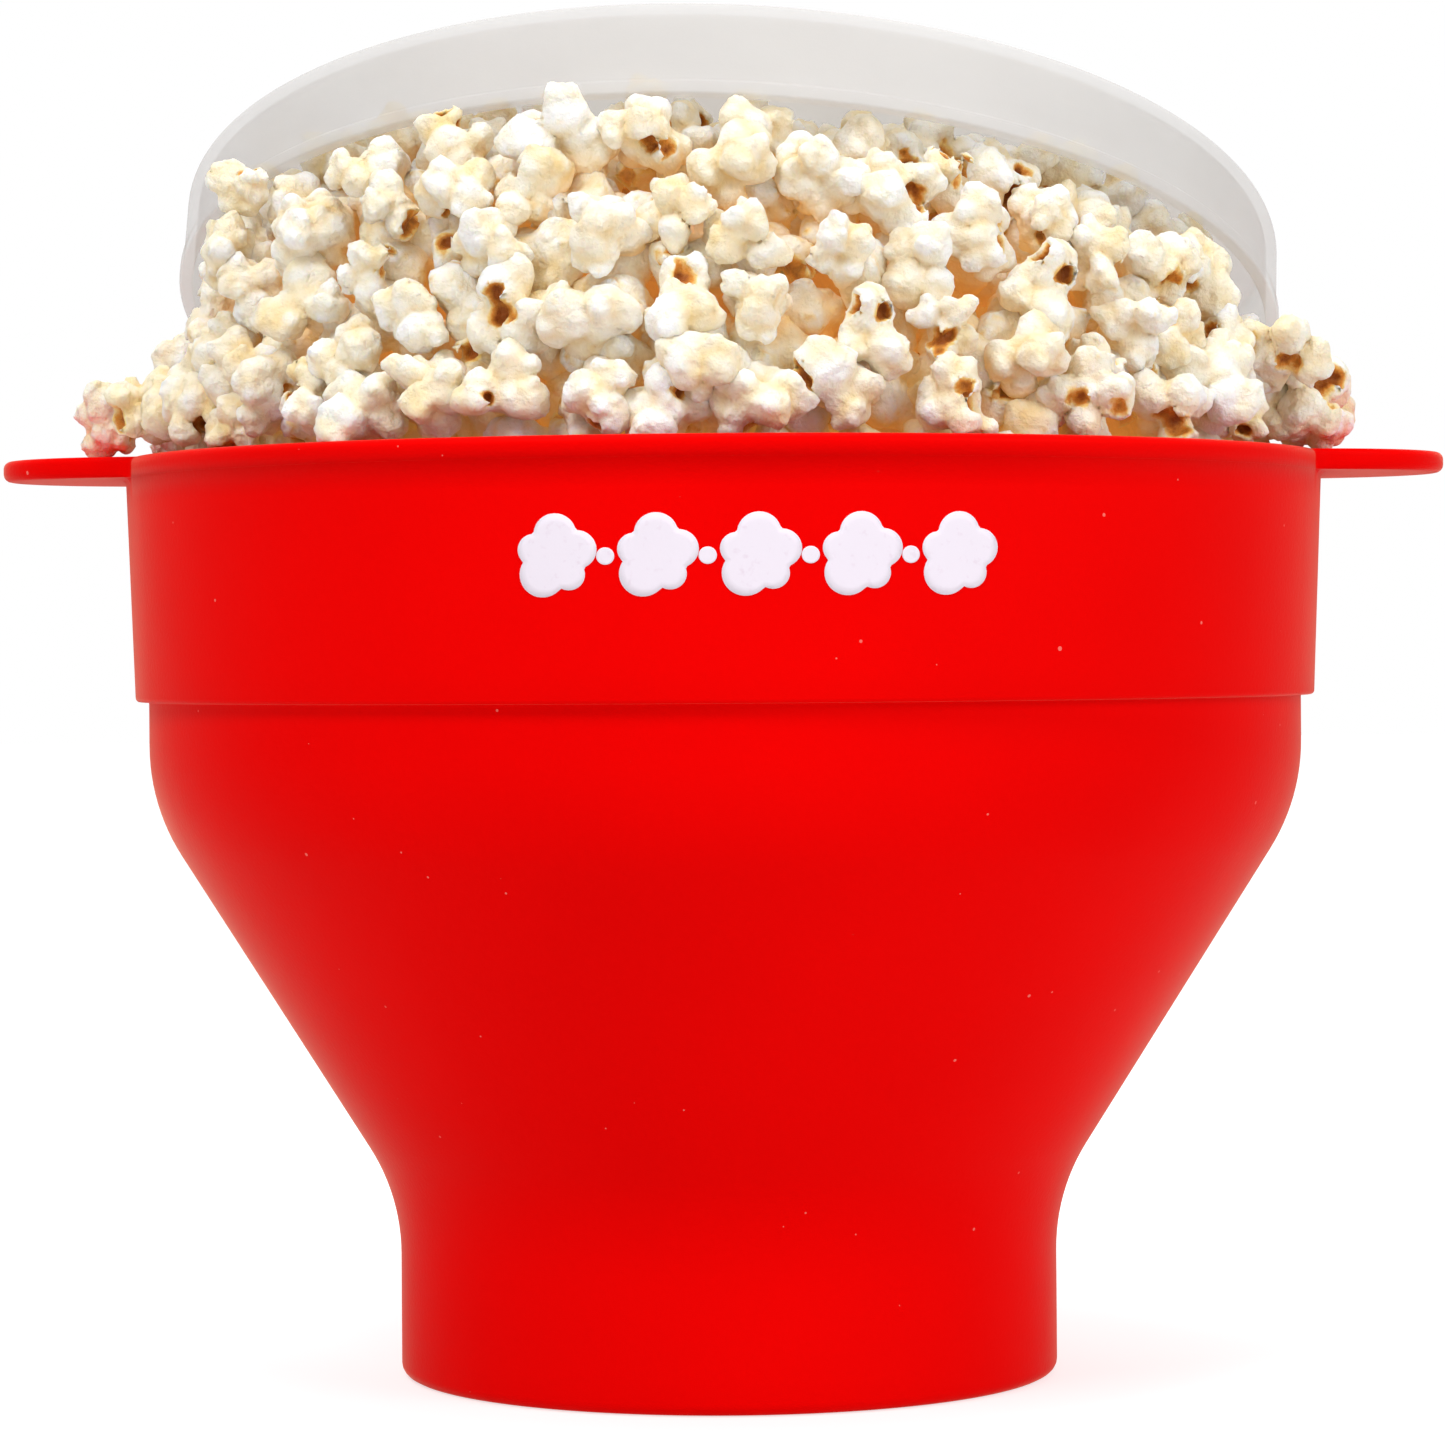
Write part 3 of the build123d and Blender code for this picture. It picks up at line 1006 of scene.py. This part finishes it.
spilled = loose_kernels(
    "popcorn_spilled",
    [
        (-102, -7, 153, 0.85),
        (-95, -22, 155, 0.95),
        (-77, -37, 191, 0.75),
        (-80, -38, 179, 0.85),
        (96, -18, 155, 1.1),
        (91, -30, 162, 1.1),
        (99, -2, 153, 0.95),
    ],
)
corn = finished(spilled, POPPED_CORN)
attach(corn, "band")
for used in (whole_kernels, buried_kernels):
    for kernel in list(used.objects):
        bpy.data.objects.remove(kernel)
    bpy.data.collections.remove(used)


# ---------------------------------------------------------------------------------------
# The lid: a shallow round cap of frosted polypropylene, moulded with a bead round its
# open edge. It is not fixed to anything; here it is hooked over the rear rim and rests
# on the heap.
# ---------------------------------------------------------------------------------------

LID_RADIUS = 94.3 * MM
LID_HEIGHT = 16.7 * MM
LID_WALL = 1.8 * MM
LID_TOP_ROUND = 3.2 * MM
LID_BEAD = 0.5 * MM
LID_BEAD_HEIGHT = 2 * MM


def lathe_tree():
    """Turns a section, drawn as a line of points in XZ, once round Z."""
    tree, given, out = shape_tree(
        "lathe", [("Steps Round", "NodeSocketInt"), ("Plastic", "NodeSocketMaterial")]
    )
    link = tree.links.new
    size = node(tree, "GeometryNodeAttributeDomainSize")
    link(given.outputs["Geometry"], size.inputs["Geometry"])
    points = size.outputs["Point Count"]
    sheet = node(tree, "GeometryNodeMeshGrid")
    link(calculated(tree, "ADD", given.outputs["Steps Round"], 1.0), sheet.inputs["Vertices X"])
    link(points, sheet.inputs["Vertices Y"])
    index = node(tree, "GeometryNodeInputIndex")
    along = calculated(tree, "MODULO", index.outputs[0], points)
    share = calculated(tree, "DIVIDE", calculated(tree, "ADD", index.outputs[0], 0.5), points)
    line = calculated(tree, "FLOOR", share, 0.0)
    step = calculated(tree, "DIVIDE", math.tau, given.outputs["Steps Round"])
    here = node(tree, "GeometryNodeInputPosition")
    section = node(tree, "GeometryNodeSampleIndex", data_type="FLOAT_VECTOR")
    link(given.outputs["Geometry"], section.inputs["Geometry"])
    link(here.outputs[0], section.inputs["Value"])
    link(along, section.inputs["Index"])
    spun = node(tree, "ShaderNodeVectorRotate", rotation_type="Z_AXIS")
    link(section.outputs["Value"], spun.inputs["Vector"])
    link(calculated(tree, "MULTIPLY", line, step), spun.inputs["Angle"])
    moved = node(tree, "GeometryNodeSetPosition")
    link(sheet.outputs["Mesh"], moved.inputs["Geometry"])
    link(spun.outputs[0], moved.inputs["Position"])
    closed = node(tree, "GeometryNodeMergeByDistance", {"Distance": 0.002 * MM})
    link(moved.outputs["Geometry"], closed.inputs["Geometry"])
    plastic = node(tree, "GeometryNodeSetMaterial")
    link(closed.outputs["Geometry"], plastic.inputs["Geometry"])
    link(given.outputs["Plastic"], plastic.inputs["Material"])
    link(plastic.outputs["Geometry"], out.inputs["Geometry"])
    return tree


def lid_section():
    """The lid's section, from the middle of its inside, round its edge, to its top."""
    outside = LID_RADIUS - LID_BEAD
    inside = outside - LID_WALL
    line = rounded_line(
        [
            (0, LID_HEIGHT - LID_WALL, 0, 1, 12),
            (inside, LID_HEIGHT - LID_WALL, 1.4 * MM, 5, 4),
            (inside, 0, 0.4 * MM, 3, 1),
            (LID_RADIUS, 0, 0.4 * MM, 3, 1),
            (LID_RADIUS, LID_BEAD_HEIGHT, 0.25 * MM, 2, 1),
            (outside, LID_BEAD_HEIGHT + LID_BEAD, 0.25 * MM, 2, 4),
            (outside, LID_HEIGHT, LID_TOP_ROUND, 8, 12),
            (0, LID_HEIGHT, 0, 1, 1),
        ]
    )
    mesh = bpy.data.meshes.new("lid_section")
    edges = [(i, i + 1) for i in range(len(line) - 1)]
    mesh.from_pydata([(p.x, 0, p.y) for p in line], edges, [])
    return mesh


def frosted_plastic():
    """Milky polypropylene: what lies against it shows through, pale and soft."""
    material, tree, shader = new_material(
        "frosted_plastic", IOR=1.45, Specular_IOR_Level=0.3, Alpha=0.38
    )
    skin = placed_group(
        tree, MOULDED_SKIN, Grain_Size=2200.0, Grain_Depth=0.2, Wave_Depth=1.5,
        Roughness=0.55, Roughness_Spread=0.15,
    )
    place = node(tree, "ShaderNodeTexCoord")
    cloud = node(tree, "ShaderNodeTexNoise", {"Scale": 24.0, "Detail": 3.0})
    tree.links.new(place.outputs["Object"], cloud.inputs["Vector"])
    milk = node(tree, "ShaderNodeValToRGB")
    milk.color_ramp.elements[0].position = 0.3
    milk.color_ramp.elements[0].color = (0.70, 0.683, 0.673, 1)
    milk.color_ramp.elements[1].position = 0.7
    milk.color_ramp.elements[1].color = (0.77, 0.757, 0.747, 1)
    tree.links.new(cloud.outputs["Fac"], milk.inputs["Fac"])
    tree.links.new(milk.outputs["Color"], shader.inputs["Base Color"])
    tree.links.new(skin.outputs["Roughness"], shader.inputs["Roughness"])
    bump_from(tree, shader, skin.outputs["Height"], 0.15 * MM)
    return material


FROSTED_PLASTIC = frosted_plastic()
cap = shaped_by(lathe_tree(), "lid", lid_section(), Steps_Round=160, Plastic=FROSTED_PLASTIC)
laid = Matrix.Rotation(LID_LEAN, 4, "Y") @ Matrix.Rotation(LID_TILT, 4, "X")
cap.transform(Matrix.Translation(LID_CENTRE) @ laid)
lid = finished(cap, FROSTED_PLASTIC)
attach(lid, "lid")
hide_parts("lid_panel", "lid_skirt")


# ---------------------------------------------------------------------------------------
# The floor, the light and the camera: a white paper sweep, round soft boxes at both sides,
# behind and above, and a long lens on a tripod a little under the height of the rim.
# ---------------------------------------------------------------------------------------

def floor_material():
    """White paper with a painted glow: to the eye it glows to white, most of all away from the bowl,
    and so still takes the contact shadow; to other rays it glows weakly and lights the bowl from below."""
    material, tree, shader = new_material("white_sweep", Roughness=0.9, Specular_IOR_Level=0.0)
    shader.inputs["Base Color"].default_value = (0.5, 0.5, 0.5, 1)
    shader.inputs["Emission Color"].default_value = (1, 1, 1, 1)
    place = node(tree, "ShaderNodeTexCoord")
    away = node(tree, "ShaderNodeVectorMath", operation="LENGTH")
    tree.links.new(place.outputs["Object"], away.inputs[0])
    far = node(
        tree, "ShaderNodeMapRange", {"From Min": 0.06, "From Max": 0.25, "To Min": 0.66, "To Max": 0.85}
    )
    tree.links.new(away.outputs["Value"], far.inputs["Value"])
    # Painted glow: the floor emits light, near white to the eye and less near the bowl, weaker to other
    # rays.
    seen = node(tree, "ShaderNodeLightPath")
    glow = node(tree, "ShaderNodeMapRange", {"To Min": 0.28})
    tree.links.new(seen.outputs["Is Camera Ray"], glow.inputs["Value"])
    tree.links.new(far.outputs["Result"], glow.inputs["To Max"])
    tree.links.new(glow.outputs["Result"], shader.inputs["Emission Strength"])
    return material


def studio():
    """The floor, four soft boxes and an even white surround."""
    floor_mesh = bpy.data.meshes.new("floor")
    half = 6.0
    level = -0.1 * MM
    floor_mesh.from_pydata(
        [(-half, -half, level), (half, -half, level), (half, half, level), (-half, half, level)],
        [],
        [(0, 1, 2, 3)],
    )
    floor_mesh.materials.append(floor_material())
    floor = bpy.data.objects.new("floor", floor_mesh)
    bpy.context.scene.collection.objects.link(floor)
    middle = Vector((0, 0, 0.11))
    boxes = [
        ("key_light", (-0.5, -0.75, 1.0), 0.5, 6.0),
        ("fill_light", (0.85, -0.7, 0.6), 0.6, 4.3),
        ("back_light", (0.1, 0.9, 1.0), 0.8, 3.0),
        ("top_light", (0.0, -0.15, 1.2), 0.6, 4.5),
    ]
    for name, place, size, power in boxes:
        lamp = bpy.data.lights.new(name, "AREA")
        lamp.shape = "DISK"
        lamp.size = size
        lamp.energy = power
        made = bpy.data.objects.new(name, lamp)
        made.location = place
        made.rotation_euler = (middle - Vector(place)).to_track_quat("-Z", "Y").to_euler()
        bpy.context.scene.collection.objects.link(made)
    world = bpy.data.worlds.new("surround")
    bpy.context.scene.world = world
    world.use_nodes = True
    tree = world.node_tree
    backdrop = tree.nodes["Background"]
    backdrop.inputs["Color"].default_value = (1, 1, 1, 1)
    seen = node(tree, "ShaderNodeLightPath")
    strength = node(tree, "ShaderNodeMapRange", {"To Min": 0.5, "To Max": 1.0})
    tree.links.new(seen.outputs["Is Camera Ray"], strength.inputs["Value"])
    tree.links.new(strength.outputs["Result"], backdrop.inputs["Strength"])
    bpy.context.scene.view_settings.view_transform = "Standard"


def camera():
    """A long lens on the front, level, with the frame slid down to take in the foot."""
    lens = bpy.data.cameras.new("camera")
    lens.sensor_width = 36.0
    lens.lens = 126.5
    lens.shift_x = -0.0015
    lens.shift_y = -0.0475
    lens.clip_start = 0.05
    made = bpy.data.objects.new("camera", lens)
    made.location = (0, -0.8545, 0.1209)
    made.rotation_euler = (math.pi / 2, 0.007, 0)
    bpy.context.scene.collection.objects.link(made)
    bpy.context.scene.camera = made


studio()
camera()
